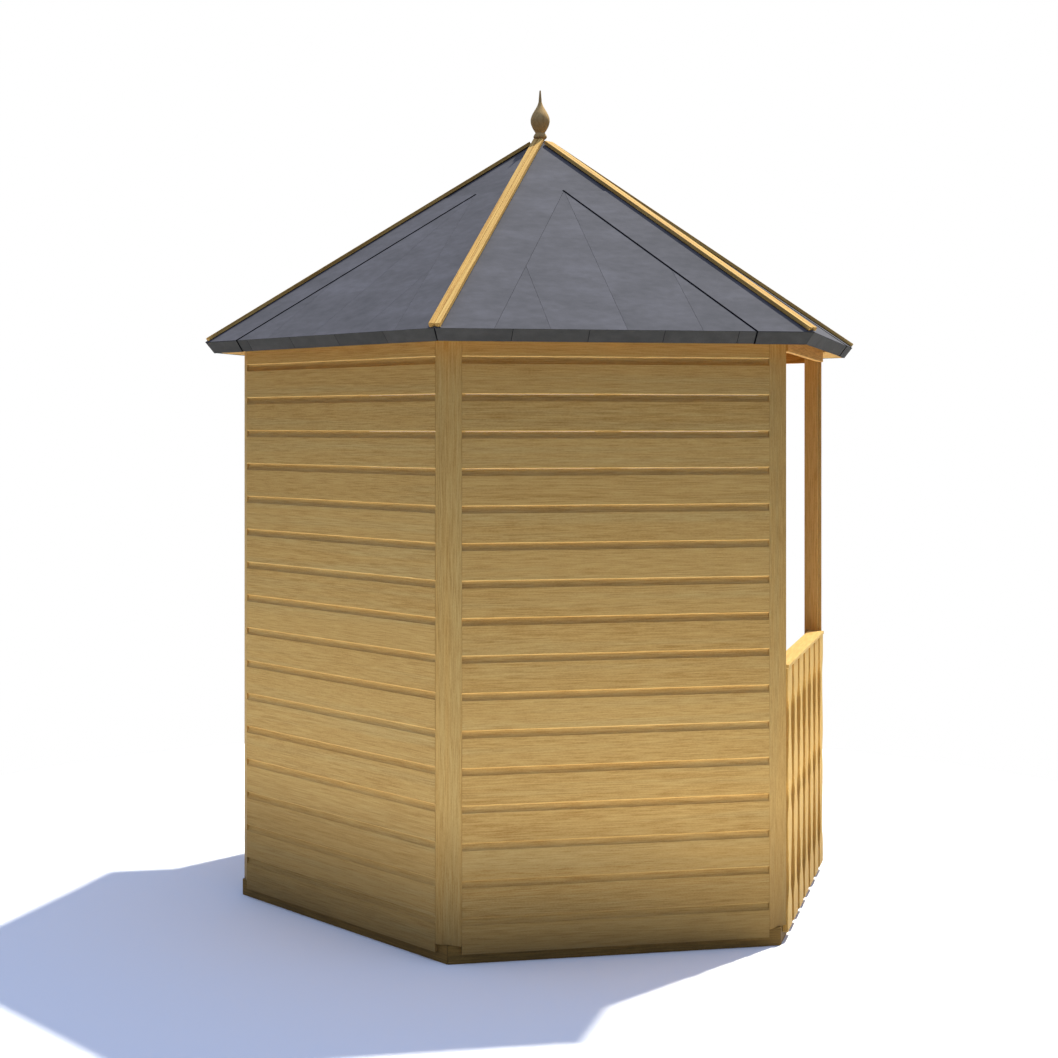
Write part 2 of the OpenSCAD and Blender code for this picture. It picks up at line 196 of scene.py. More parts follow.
# Outlines
def clipped(outline, direction, limit):
    """Part of a convex outline that reaches no further than limit in a direction."""
    kept = []
    for i, point in enumerate(outline):
        last = outline[i - 1]
        over = point[0] * direction[0] + point[1] * direction[1] - limit
        last_over = last[0] * direction[0] + last[1] * direction[1] - limit
        if over * last_over < 0:
            share = last_over / (last_over - over)
            kept.append(tuple(a + (b - a) * share for a, b in zip(last, point)))
        if over <= 0:
            kept.append(point)
    return kept


def between(outline, axis, low, high):
    """Part of a convex outline between two places on one of its axes."""
    direction = (1, 0) if axis == X else (0, 1)
    back = (-direction[0], -direction[1])
    return clipped(clipped(outline, direction, high), back, -low)


def hexagon(apothem):
    """Plan hexagon with flat sides towards +Y and -Y."""
    radius = apothem / math.cos(SECTOR)
    angles = [math.radians(corner) for corner in CORNERS.values()]
    return [(radius * math.cos(angle), radius * math.sin(angle)) for angle in angles]


def rectangle(low, high):
    """Outline between two opposite corners."""
    return [low, (high[0], low[1]), high, (low[0], high[1])]


def extruded(outline, axis, start, stop):
    """Two rings: an outline in two axes, set at two places along the third."""
    rings = []
    for place in (start, stop):
        rings.append([Vector((*point[:axis], place, *point[axis:])) for point in outline])
    return rings


def across_face(profile):
    """Two rings: a profile in y and z of a roof face, run from hip to hip."""
    left = [Vector((-half_width(y, z), y, z)) for y, z in profile]
    right = [Vector((half_width(y, z), y, z)) for y, z in profile]
    return left, right


def eased(low, high, share):
    """Half a wave from low to high, level at both ends."""
    return low + (high - low) * (1 - math.cos(math.pi * share)) / 2


# Pieces
def add_object(name, data):
    """New object in the scene."""
    item = bpy.data.objects.new(name, data)
    bpy.context.scene.collection.objects.link(item)
    return item


class Piece:
    """Boards or sheets joined into one mesh, each with its own grain coordinates and tone."""

    # Edges that turn further than this are eased, and shaded as creases
    sharp = math.radians(25)
    # A face is cut across an axis if more than this share of its normal lies along it
    end_normal = 0.8
    # Reach of the random shifts of the grain, along it and across it
    grain_shift = (20, 3, 3)

    def __init__(self, name, dark_faces=()):
        """Faces across the local axes given here are darkened like end grain, and so are all ends of
        the grain; on the slats this paints shade on their waved sides.
        """
        self.name = name
        self.dark_faces = dark_faces
        self.points = []
        self.faces = []
        self.grain = []
        self.tone = []
        self.end_grain_and_side_shade = []
        self.painted_underside_light = []

    def add(self, rings, along, place=Matrix(), ease=EASE, tone=None):
        """Adds a solid between two rings of points, its grain along one local axis."""
        low_ring, high_ring = rings
        solid = bmesh.new()
        low = [solid.verts.new(point) for point in low_ring]
        high = [solid.verts.new(point) for point in high_ring]
        solid.faces.new(low[::-1])
        solid.faces.new(high)
        for i in range(len(low)):
            j = (i + 1) % len(low)
            solid.faces.new((low[i], low[j], high[j], high[i]))
        bmesh.ops.recalc_face_normals(solid, faces=solid.faces)
        if ease:
            edges = [edge for edge in solid.edges if edge.calc_face_angle() > self.sharp]
            bmesh.ops.bevel(
                solid, geom=edges, offset=ease, segments=1, affect="EDGES", clamp_overlap=True,
            )
        self.take(solid, along, place, tone)

    def turn(self, profile, segments, place):
        """Adds a solid of revolution from its profile of radii and heights."""
        solid = bmesh.new()
        angles = [math.tau * i / segments for i in range(segments)]
        rings = []
        for radius, height in profile:
            points = [(radius * math.cos(a), radius * math.sin(a), height) for a in angles]
            rings.append([solid.verts.new(point) for point in points])
        for low, high in zip(rings, rings[1:]):
            for i in range(segments):
                j = (i + 1) % segments
                solid.faces.new((low[i], low[j], high[j], high[i]))
        solid.faces.new(rings[0][::-1])
        solid.faces.new(rings[-1])
        self.take(solid, Z, place)

    def take(self, solid, along, place, tone=None):
        """Takes over a finished solid: grain from its local coordinates, points in the shared frame."""
        solid.normal_update()
        solid.verts.index_update()
        start = len(self.points)
        shift = Vector([rng.uniform(0, reach) for reach in self.grain_shift])
        own_tone = rng.uniform(-1, 1)
        tone = own_tone if tone is None else tone
        flip = place.determinant() < 0
        for vert in solid.verts:
            local = Vector(vert.co[(along + i) % 3] for i in range(3))
            self.grain.extend(local + shift)
            self.points.append(place @ vert.co)
            self.tone.append(tone)
        for face in solid.faces:
            corners = [start + vert.index for vert in face.verts]
            self.faces.append(corners[::-1] if flip else corners)
            # End grain, and on the slats their waved sides too, which take painted shade
            across = max(abs(face.normal[axis]) for axis in (along, *self.dark_faces))
            self.end_grain_and_side_shade.append(float(across > self.end_normal))
            # How far the face looks down, for painted light from below on undersides
            self.painted_underside_light.append(max(0.0, -(place.to_3x3() @ face.normal).z))
        solid.free()

    def finish(self, slot, *nodes):
        """Makes the object, on the root body, with the slot's material, in place of its nodes."""
        mesh = bpy.data.meshes.new(self.name)
        mesh.from_pydata(self.points, [], self.faces)
        mesh.polygons.foreach_set("use_smooth", [True] * len(self.faces))
        mesh.set_sharp_from_angle(angle=self.sharp)
        mesh.attributes.new("grain", "FLOAT_VECTOR", "POINT").data.foreach_set("vector", self.grain)
        mesh.attributes.new("tone", "FLOAT", "POINT").data.foreach_set("value", self.tone)
        mesh.attributes.new("end_grain_and_side_shade", "FLOAT", "FACE").data.foreach_set("value", self.end_grain_and_side_shade)
        mesh.attributes.new("painted_underside_light", "FLOAT", "FACE").data.foreach_set("value", self.painted_underside_light)
        mesh.materials.append(MATERIALS[slot])
        piece = add_object(self.name, mesh)
        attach(piece, "root")
        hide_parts(*nodes)


# Materials
class Graph:
    """Short way to write the nodes of a material or a world."""

    def __init__(self, owner):
        owner.use_nodes = True
        self.tree = owner.node_tree
        self.shader = self.tree.nodes.get("Principled BSDF")

    def node(self, kind, inputs=(), **settings):
        """Adds a node; inputs are (socket, value or other node's output) pairs."""
        item = self.tree.nodes.new(kind)
        for name, value in settings.items():
            setattr(item, name, value)
        for socket, value in inputs:
            self.feed(item.inputs[socket], value)
        return item

    def feed(self, socket, value):
        """Links a socket to another node's output, or gives it a value."""
        if isinstance(value, bpy.types.NodeSocket):
            self.tree.links.new(value, socket)
        else:
            socket.default_value = value

    def attribute(self, name, output):
        return self.node("ShaderNodeAttribute", attribute_name=name).outputs[output]

    def noise(self, vector, scale, detail, distortion=0.0):
        """Noise in 0 to 1 over a vector stretched by a scale for each axis."""
        stretched = self.node("ShaderNodeVectorMath", ((0, vector), (1, scale)), operation="MULTIPLY")
        inputs = (
            ("Vector", stretched.outputs[0]), ("Scale", 1.0),
            ("Detail", detail), ("Distortion", distortion),
        )
        return self.node("ShaderNodeTexNoise", inputs).outputs[0]

    def math(self, operation, first, second):
        return self.node("ShaderNodeMath", ((0, first), (1, second)), operation=operation).outputs[0]

    def blend(self, *parts):
        """Sum of parts, each a value and its share."""
        total = 0.0
        for value, share in parts:
            inputs = ((0, value), (1, share), (2, total))
            total = self.node("ShaderNodeMath", inputs, operation="MULTIPLY_ADD").outputs[0]
        return total

    def spread(self, value, low, high, to_low=0.0, to_high=1.0):
        """Value mapped from one range to another and held within it."""
        inputs = ((0, value), (1, low), (2, high), (3, to_low), (4, to_high))
        return self.node("ShaderNodeMapRange", inputs).outputs[0]

    def ramp(self, value, stops):
        """Colour at a value from 0 to 1, between stops of a place and a colour."""
        item = self.node("ShaderNodeValToRGB", ((0, value),))
        elements = item.color_ramp.elements
        while len(elements) < len(stops):
            elements.new(1.0)
        for element, (place, colour) in zip(elements, stops):
            element.position = place
            element.color = colour
        return item.outputs[0]

    def mix(self, share, first, second, blend="MIX"):
        item = self.node("ShaderNodeMix", data_type="RGBA", blend_type=blend)
        for name, value in (("Factor_Float", share), ("A_Color", first), ("B_Color", second)):
            socket = next(s for s in item.inputs if s.identifier == name)
            self.feed(socket, value)
        return next(s for s in item.outputs if s.identifier == "Result_Color")

    def bump(self, height, strength, distance):
        inputs = (("Strength", strength), ("Distance", distance), ("Height", height))
        normal = self.node("ShaderNodeBump", inputs).outputs[0]
        self.feed(self.shader.inputs["Normal"], normal)

    def set(self, **sockets):
        """Feeds the shader's inputs, named with underscores for spaces."""
        for name, value in sockets.items():
            self.feed(self.shader.inputs[name.replace("_", " ")], value)


def linear(colour):
    """Linear colour and alpha from display values of 0 to 255."""
    shares = [value / 255 for value in colour]
    rgb = [s / 12.92 if s <= 0.04045 else ((s + 0.055) / 1.055) ** 2.4 for s in shares]
    return (*rgb, 1.0)


def three_tones(light, mid, dark):
    """Stops of a ramp from dark to light."""
    return (0.0, linear(dark)), (0.5, linear(mid)), (1.0, linear(light))


# Timber: how finely its noises vary along the grain and across it, for each metre
STREAK_RUN = 12
STREAKS_ACROSS = 290
PORES = (150, 380, 380)
BANDS = (1.4, 46, 46)
BAND_SWIRL = 0.8
CLOUDS = (2.2, 9, 9)
SAPWOOD = (0.7, 26, 26)
FLECKS = (34, 760, 760)
# Shares of the noises and of a board's own tone in the figure, and how far the figure reaches
STREAK_SHARE = 0.58
PORE_SHARE = 0.22
BAND_SHARE = 0.12
CLOUD_SHARE = 0.08
TONE_SHARE = 0.025
FIGURE_REACH = 0.18
# How much else shows: pale sapwood, painted light on faces that look down, flecks, darker end grain
# with painted shade on the slats' sides, and painted shade towards the ground
SAP_SHARE = 0.9
SAP_TINT = (0.97, 1.03, 1.14, 1.0)
# Tint of painted light from below on faces that look down
UNDERSIDE_LIGHT_TINT = (1.45, 1.5, 1.52, 1.0)
FLECK_SHARE = 0.4
END_GRAIN_AND_SHADE_SHARE = 0.6
# Painted shade that darkens the timber towards the ground: how high it reaches, how uneven its edge is,
# and its colour
FOOT_SHADE_TOP = 0.5
FOOT_SHADE_UNEVEN = 0.06
FOOT_SHADE_COLOUR = (74, 58, 28)
WOOD_ROUGHNESS = (0.62, 0.8)
WOOD_GLOSS = 0.14
WOOD_RELIEF = 0.0006

# Felt: how finely its noises vary along the eaves and up the slope, for each metre, and their shares
FELT_CLOUDS = (4, 9, 9)
FELT_PATCHES = (26, 42, 42)
FELT_GRIT = (330, 330, 330)
FELT_CLOUD_SHARE = 0.46
FELT_PATCH_SHARE = 0.32
FELT_GRIT_SHARE = 0.22
FELT_ROUGHNESS = (0.74, 0.92)
FELT_GLOSS = 0.2
FELT_RELIEF = 0.0008
# Tones of the felt: bitumen in the joints and in the beads at the laps, felt turned down at the eaves
# and darkened there as painted shade, plain felt on the slopes
BITUMEN = 0.0
SHADED_FASCIA = 0.5
PLAIN_FELT = 1.0
FELT_TINTS = (
    (BITUMEN, (0.06, 0.06, 0.06, 1.0)),
    # Darker, less blue tint of painted shade on the fascia
    (SHADED_FASCIA, (0.8, 0.79, 0.65, 1.0)),
    (PLAIN_FELT, WHITE),
)


def marks_and_painted_light(graph, grain, colour, dark):
    """Colour with pale sapwood, painted light on faces that look down, dark flecks, and dull end grain
    with painted shade on the slats' sides.
    """
    sap = graph.spread(graph.noise(grain, SAPWOOD, 2.0), 0.48, 0.66, 0.0, SAP_SHARE)
    sappy = graph.mix(sap, colour, SAP_TINT, "MULTIPLY")
    # Painted light on faces that look down
    lit_undersides = graph.mix(graph.attribute("painted_underside_light", "Fac"), sappy, UNDERSIDE_LIGHT_TINT, "MULTIPLY")
    flecks = graph.spread(graph.noise(grain, FLECKS, 1.0), 0.6, 0.74, 0.0, FLECK_SHARE)
    flecked = graph.mix(flecks, lit_undersides, dark)
    # Darker end grain, and painted shade on the slats' sides
    dark_faces = graph.math("MULTIPLY", graph.attribute("end_grain_and_side_shade", "Fac"), END_GRAIN_AND_SHADE_SHARE)
    return graph.mix(dark_faces, flecked, dark)


def foot_shaded(graph, clouds, colour, foot_shade):
    """Painted shade: colour that darkens towards the ground, along an uneven edge."""
    place = graph.node("ShaderNodeTexCoord").outputs["Object"]
    height = graph.node("ShaderNodeSeparateXYZ", ((0, place),)).outputs["Z"]
    uneven = graph.blend((height, 1.0), (clouds, FOOT_SHADE_UNEVEN))
    share = graph.spread(uneven, 0.0, FOOT_SHADE_TOP, foot_shade, 0.0)
    return graph.mix(share, colour, linear(FOOT_SHADE_COLOUR))


def wood(name, light, mid, dark, contrast=1.0, foot_shade=0.0, run=STREAK_RUN):
    """Softwood in three tones, with streaks, pores and growth bands along its grain."""
    material = bpy.data.materials.new(name)
    graph = Graph(material)
    grain = graph.attribute("grain", "Vector")
    streaks = graph.noise(grain, (run, STREAKS_ACROSS, STREAKS_ACROSS), 4.0)
    pores = graph.noise(grain, PORES, 2.0)
    bands = graph.noise(grain, BANDS, 3.0, BAND_SWIRL)
    clouds = graph.noise(grain, CLOUDS, 2.0)
    tone = graph.attribute("tone", "Fac")
    figure = graph.blend(
        (streaks, STREAK_SHARE), (pores, PORE_SHARE), (bands, BAND_SHARE),
        (clouds, CLOUD_SHARE), (tone, TONE_SHARE),
    )
    reach = FIGURE_REACH / contrast
    shade = graph.spread(figure, 0.5 - reach, 0.5 + reach)
    colour = graph.ramp(shade, three_tones(light, mid, dark))
    colour = marks_and_painted_light(graph, grain, colour, linear(dark))
    # Painted shade towards the ground
    if foot_shade:
        colour = foot_shaded(graph, clouds, colour, foot_shade)
    roughness = graph.spread(streaks, 0.25, 0.75, *WOOD_ROUGHNESS)
    graph.set(Base_Color=colour, Roughness=roughness, Specular_IOR_Level=WOOD_GLOSS)
    graph.bump(graph.blend((streaks, 1.0), (bands, 0.6)), 0.3, WOOD_RELIEF)
    return material


def felt(name, light, mid, dark):
    """Roofing felt: soft clouds along the eaves and fine grit, toned from bitumen through felt darkened
    on the fascia as painted shade to plain felt.
    """
    material = bpy.data.materials.new(name)
    graph = Graph(material)
    place = graph.attribute("grain", "Vector")
    clouds = graph.noise(place, FELT_CLOUDS, 3.0, 0.4)
    patches = graph.noise(place, FELT_PATCHES, 5.0)
    grit = graph.noise(place, FELT_GRIT, 3.0)
    figure = graph.blend(
        (clouds, FELT_CLOUD_SHARE), (patches, FELT_PATCH_SHARE), (grit, FELT_GRIT_SHARE),
    )
    colour = graph.ramp(graph.spread(figure, 0.35, 0.65), three_tones(light, mid, dark))
    tone = graph.attribute("tone", "Fac")
    tinted = graph.mix(1.0, colour, graph.ramp(tone, FELT_TINTS), "MULTIPLY")
    roughness = graph.spread(grit, 0.2, 0.8, *FELT_ROUGHNESS)
    gloss = graph.math("MULTIPLY", tone, FELT_GLOSS)
    graph.set(Base_Color=tinted, Roughness=roughness, Specular_IOR_Level=gloss)
    graph.bump(graph.blend((grit, 1.0), (patches, 2.0)), 0.25, FELT_RELIEF)
    return material


MATERIALS = {
    "cladding_timber": wood(
        "cladding_timber", (211, 175, 106), (198, 158, 90), (170, 127, 62), foot_shade=0.8,
    ),
    "trim_timber": wood("trim_timber", (211, 174, 104), (197, 156, 87), (169, 125, 60), foot_shade=0.8),
    "slat_timber": wood("slat_timber", (232, 198, 122), (216, 174, 97), (197, 146, 66), foot_shade=0.5),
    "frame_timber": wood("frame_timber", (222, 178, 106), (208, 161, 89), (177, 129, 58)),
    "floor_timber": wood("floor_timber", (208, 168, 102), (192, 150, 86), (162, 120, 62)),
    "base_timber": wood("base_timber", (154, 118, 58), (126, 95, 43), (94, 70, 31), foot_shade=0.4),
    "roof_timber": wood("roof_timber", (230, 192, 122), (219, 176, 107), (190, 144, 80)),
    "cap_timber": wood(
        "cap_timber", (234, 191, 109), (217, 171, 91), (170, 122, 57), contrast=1.4, run=3,
    ),
    "finial_timber": wood("finial_timber", (225, 187, 124), (212, 172, 108), (176, 137, 81)),
    "roof_felt": felt("roof_felt", (98, 97, 102), (87, 86, 90), (76, 76, 80)),
}


# Base and floor
def build_floor_frame():
    piece = Piece("floor_frame_timbers")
    rim_t = RIM_APOTHEM - FLOOR_APOTHEM
    rim_low = -(FACE_APOTHEM - RIM_APOTHEM) - rim_t
    rim_high = rim_low + rim_t
    ends = [((FACE_APOTHEM + y) * math.tan(SECTOR) - PLAY, y) for y in (rim_low, rim_high)]
    outline = [(-ends[0][0], rim_low), ends[0], ends[1], (-ends[1][0], rim_high)]
    for facing in FACINGS.values():
        piece.add(extruded(outline, Z, 0, FLOOR_TOP), X, side_place(facing))
    spacing = 2 * FLOOR_APOTHEM / (JOIST_COUNT + 1)
    for i in range(JOIST_COUNT):
        middle = (i + 1) * spacing - FLOOR_APOTHEM
        joist = between(hexagon(FLOOR_APOTHEM), Y, middle - JOIST_W / 2, middle + JOIST_W / 2)
        piece.add(extruded(joist, Z, 0, FLOOR_LOW - PLAY), X)
    piece.finish("base_timber", "floor_frame")


def build_floor_boards():
    piece = Piece("floor_boards_planks")
    radius = FLOOR_APOTHEM / math.cos(SECTOR)
    count = math.ceil(2 * radius / FLOOR_BOARD_W)
    for i in range(count):
        low = i * FLOOR_BOARD_W - count * FLOOR_BOARD_W / 2
        plank = between(hexagon(FLOOR_APOTHEM), X, low, low + FLOOR_BOARD_W - BOARD_GAP)
        piece.add(extruded(plank, Z, FLOOR_LOW, FLOOR_TOP), Y)
    piece.finish("floor_timber", "floor_boards")


# Walls
def shiplap_profile(low, high, has_lip, has_cove):
    """Section of one board in y and z: lip at its foot, hollow moulding at its head."""
    foot = [(-CLAD_T, low), (0, low)]
    if has_lip:
        foot = [(-CLAD_T, low), (-LIP_D, low), (0, low + LIP_H)]
    head = [(0, high), (-CLAD_T, high)]
    if has_cove:
        radius = COVE_H / (math.sin(COVE_FOOT) - math.sin(COVE_HEAD))
        turn = (COVE_HEAD - COVE_FOOT) / COVE_STEPS
        angles = [COVE_FOOT + turn * i for i in range(COVE_STEPS + 1)]
        centre = (radius * math.cos(COVE_FOOT), high + radius * math.sin(COVE_HEAD))
        cove = [(centre[0] - radius * math.cos(a), centre[1] - radius * math.sin(a)) for a in angles]
        head = cove + [(-CLAD_T, high)]
    return foot + head


def build_cladding(side, facing):
    piece = Piece(f"{side}_wall_cladding_boards")
    first = CLAD_BOTTOM + FIRST_BOARD_H
    count = int((WALL_TOP - LIP_H - COVE_H - first) / BOARD_PITCH) + 1
    joints = [CLAD_BOTTOM] + [first + COVE_H + i * BOARD_PITCH for i in range(count)] + [WALL_TOP]
    for i, (low, high) in enumerate(zip(joints, joints[1:])):
        profile = shiplap_profile(low + PLAY, high - PLAY, i > 0, i < count)
        piece.add(extruded(profile, X, -BOARD_END, BOARD_END), X, side_place(facing), ease=0)
    piece.finish("cladding_timber", f"{side}_wall_cladding")


# Framing
FRAME_FRONT = -CLAD_T - PLAY
STUD_IN = STUD_OUT - STUD_W
TOP_RAIL_Z = WALL_TOP - STUD_W
STUD_BEVEL = (STUD_OUT - BOARD_END) * math.tan(SECTOR)
# Darker than any stud, whose tones run from -1 to 1
HEADER_TONE = -3.0
# Paler than any slat
SILL_TONE = 1.5


def add_top_rail(piece, place):
    """Rail cut to the roof's slope on top, and behind the corner boards at its ends."""
    half = [(STUD_OUT, -WALL_T), (STUD_OUT, FRAME_FRONT - STUD_BEVEL), (BOARD_END, FRAME_FRONT)]
    plan = half + [(-x, y) for x, y in reversed(half)]
    foot = [Vector((x, y, TOP_RAIL_Z)) for x, y in plan]
    head = [Vector((x, y, WALL_TOP - y * math.tan(PITCH))) for x, y in plan]
    piece.add((foot, head), X, place)


def add_end_studs(piece, place):
    """Two studs, bevelled behind the corner boards."""
    plan = [
        (STUD_IN, -WALL_T), (STUD_OUT, -WALL_T), (STUD_OUT, FRAME_FRONT - STUD_BEVEL),
        (BOARD_END, FRAME_FRONT), (STUD_IN, FRAME_FRONT),
    ]
    for hand in (-1, 1):
        outline = [(hand * x, y) for x, y in plan]
        piece.add(extruded(outline, Z, FLOOR_TOP, TOP_RAIL_Z - PLAY), Z, place)


def add_rail(piece, low_x, high_x, low_z, place):
    section = rectangle((-WALL_T, low_z), (FRAME_FRONT, low_z + STUD_W))
    piece.add(extruded(section, X, low_x + PLAY, high_x - PLAY), X, place)


def add_header_board(piece, place):
    top = WALL_TOP - SLAT_FRONT * math.tan(PITCH)
    section = rectangle((-CLAD_T, HEADER_Z), (SLAT_FRONT, top))
    piece.add(extruded(section, X, -BOARD_END, BOARD_END), X, place, tone=HEADER_TONE)


def build_wall_frame(side, facing):
    piece = Piece(f"{side}_wall_frame_timbers")
    place = side_place(facing)
    half_stud = STUD_W / 2
    add_top_rail(piece, place)
    add_end_studs(piece, place)
    add_rail(piece, -STUD_IN, STUD_IN, FLOOR_TOP, place)
    middle = rectangle((-half_stud, -WALL_T), (half_stud, FRAME_FRONT))
    piece.add(extruded(middle, Z, FLOOR_TOP + STUD_W + PLAY, TOP_RAIL_Z - PLAY), Z, place)
    add_rail(piece, -STUD_IN, -half_stud, MID_RAIL_Z, place)
    add_rail(piece, half_stud, STUD_IN, MID_RAIL_Z, place)
    piece.finish("frame_timber", f"{side}_wall_frame")


def build_lintel():
    piece = Piece("entrance_lintel_timbers")
    place = side_place(FACINGS["front"])
    add_top_rail(piece, place)
    add_header_board(piece, place)
    piece.finish("frame_timber", "entrance_lintel")


# Half-height panels
def slat_outline(length):
    """Waved outline of a slat about its middle, in x and z."""
    edge = []
    for (low, low_w), (high, high_w) in zip(SLAT_STATIONS, SLAT_STATIONS[1:]):
        for i in range(SLAT_STEPS):
            share = i / SLAT_STEPS
            edge.append((eased(low_w, high_w, share) / 2, low + (high - low) * share))
    edge += [(SLAT_W / 2, SLAT_STATIONS[-1][0]), (SLAT_W / 2, length / 2)]
    upper = edge + [(-x, z) for x, z in reversed(edge)]
    lower = [(-x, -z) for x, z in upper[1:-1]]
    return upper + lower


def build_panel_frame(side, place):
    piece = Piece(f"{side}_half_panel_frame_timbers")
    add_top_rail(piece, place)
    add_end_studs(piece, place)
    add_rail(piece, -STUD_IN, STUD_IN, FLOOR_TOP, place)
    add_rail(piece, -STUD_IN, STUD_IN, SILL_LOW - STUD_W - PLAY, place)
    add_header_board(piece, place)
    piece.finish("frame_timber", f"{side}_half_panel_frame")


def build_slats(side, place):
    # The waved sides of the slats are darkened like end grain: painted shade between the slats
    piece = Piece(f"{side}_half_panel_slats_row", dark_faces=(X,))
    length = SILL_LOW - PLAY - CLAD_BOTTOM
    pitch = (2 * BOARD_END - SLAT_W) / (SLAT_COUNT - 1)
    rings = extruded(slat_outline(length), Y, -CLAD_T, SLAT_FRONT)
    for i in range(SLAT_COUNT):
        middle = ((i - (SLAT_COUNT - 1) / 2) * pitch, 0, CLAD_BOTTOM + length / 2)
        piece.add(rings, Z, place @ Matrix.Translation(middle))
    piece.finish("slat_timber", f"{side}_half_panel_slats")


def build_sill(side, place):
    """Board over the slats, notched round the studs."""
    piece = Piece(f"{side}_half_panel_sill_board")
    notch = STUD_IN - PLAY
    front = SLAT_FRONT + SILL_LIP
    half = [(BOARD_END, front), (BOARD_END, -CLAD_T), (notch, -CLAD_T), (notch, front - SILL_W)]
    outline = half + [(-x, y) for x, y in reversed(half)]
    piece.add(extruded(outline, Z, SILL_LOW, SILL_TOP), X, place, tone=SILL_TONE)
    piece.finish("slat_timber", f"{side}_half_panel_sill")


# Corners
def build_corner_board(corner, angle):
    piece = Piece(f"corner_trim_{corner}_board")
    half_front = CORNER_HIGH.y
    half_back = half_front - CLAD_T * math.sin(SECTOR)
    outline = [
        (CORNER_LOW.x, -half_back), (CORNER_HIGH.x, -half_front),
        (CORNER_HIGH.x, half_front), (CORNER_LOW.x, half_back),
    ]
    turn = Matrix.Rotation(math.radians(angle), 4, "Z")
    piece.add(extruded(outline, Z, CORNER_LOW.z, CORNER_HIGH.z), Z, turn)
    piece.finish("trim_timber", f"corner_trim_{corner}")


# Roof
def hip_place(facing, hand):
    """Frame along a hip of a face: x up the hip, y off the face, z off the felt."""
    up = Vector((-hand * math.sin(HIP_LEAN), math.cos(HIP_LEAN), 0))
    out = Vector((hand * math.cos(HIP_LEAN), math.sin(HIP_LEAN), 0))
    axes = Matrix((up, out, (0, 0, 1))).transposed().to_4x4()
    return slope_place(facing) @ Matrix.Translation((hand * HALF_EAVE, 0, 0)) @ axes


def hip_reach(z):
    """How far a face runs across its hip's line at a height off the felt."""
    return z * math.sin(PITCH) * math.tan(SECTOR) * math.cos(HIP_LEAN) - PLAY


DECK_LOW = -FELT_T - ROOF_BOARD_T
RAIL_TOP = DECK_LOW - PLAY
RAIL_END = FELT_T + RAFTER_W
RAFTER_LOW = RAIL_END + PLAY


def add_deck(piece, place):
    """Boards across the slope, from hip to hip."""
    count = math.ceil((ROOF_TOP - FELT_T) / ROOF_BOARD_W)
    for i in range(count):
        low = FELT_T + i * ROOF_BOARD_W
        high = min(low + ROOF_BOARD_W - BOARD_GAP, ROOF_TOP)
        section = rectangle((low, DECK_LOW), (high, -FELT_T - PLAY))
        piece.add(across_face(section), X, place)


def add_eaves_rail(piece, place):
    section = rectangle((FELT_T, -ROOF_T), (RAIL_END, RAIL_TOP))
    piece.add(across_face(section), X, place)


def add_middle_rafter(piece, place):
    """Rafter from the eaves rail up to where the hip rafters meet."""
    high = SLOPE_L - (RAFTER_W / 2 + RAFTER_W / math.cos(HIP_LEAN)) / math.tan(HIP_LEAN)
    section = rectangle((-RAFTER_W / 2, -ROOF_T), (RAFTER_W / 2, RAIL_TOP))
    piece.add(extruded(section, Y, RAFTER_LOW, high), Y, place)


def add_hip_rafters(piece, facing):
    """Two rafters along the hips, from the eaves rail up to the apex block."""
    low = RAFTER_LOW / math.cos(HIP_LEAN) + RAFTER_W * math.tan(HIP_LEAN)
    high = HIP_L * (1 - BLOCK_TOP.x / (HALF_EAVE * 2)) - RAFTER_W * math.tan(HIP_LEAN)
    section = [
        (-RAFTER_W, -ROOF_T), (hip_reach(-ROOF_T), -ROOF_T),
        (hip_reach(RAIL_TOP), RAIL_TOP), (-RAFTER_W, RAIL_TOP),
    ]
    for hand in (-1, 1):
        piece.add(extruded(section, X, low, high), X, hip_place(facing, hand))


def build_roof_panel(side, facing):
    piece = Piece(f"roof_panel_{side}_timbers")
    place = slope_place(facing)
    add_deck(piece, place)
    add_eaves_rail(piece, place)
    add_middle_rafter(piece, place)
    add_hip_rafters(piece, facing)
    piece.finish("roof_timber", f"roof_panel_{side}")


# Felt
SHEET_LOW = -FELT_T + UNDERLAY_T + PLAY
# Bands of felt beside the hips: they end this far up the slope, and start this far from the middle
# of the eaves, measured square to the hip
BAND_TOP = SLOPE_L * (1 - LAP_W / HALF_EAVE)
BAND_IN = (HALF_EAVE - LAP_W) * math.cos(HIP_LEAN)
# The felt was laid from the back left hip both ways round, each sheet lapped over the last
FELT_ORDER = {"left": 0, "back": 0, "front_left": 1, "right": 1, "front": 2, "front_right": 2}


def lapped(side, hand):
    """Whether the next face's sheet laps over a hip: hand 1 is at facing + 30, -1 at facing - 30."""
    facing = (FACINGS[side] + hand * 60) % 360
    neighbour = next(name for name, angle in FACINGS.items() if angle == facing)
    return FELT_ORDER[neighbour] > FELT_ORDER[side]


def slope_outline():
    """Roof face in x and y of its frame."""
    half, half_top = half_width(0, 0), half_width(ROOF_TOP, 0)
    return [(-half, 0), (half, 0), (half_top, ROOF_TOP), (-half_top, ROOF_TOP)]


def fascia_outline(left_gap=0.0, right_gap=0.0):
    """Felt turned down at the eaves, in x and z of a roof face's frame."""
    hem, fold = half_width(0, -ROOF_T), half_width(0, -LAP_T)
    return [
        (left_gap - hem, -ROOF_T), (hem - right_gap, -ROOF_T),
        (fold - right_gap, -LAP_T), (left_gap - fold, -LAP_T),
    ]


def strips(outline, joints, gap):
    """Parts of an outline side by side, with gaps at the joints."""
    limits = (-HALF_EAVE, *joints, HALF_EAVE)
    pairs = zip(limits, limits[1:])
    return [between(outline, X, left + gap / 2, right - gap / 2) for left, right in pairs]


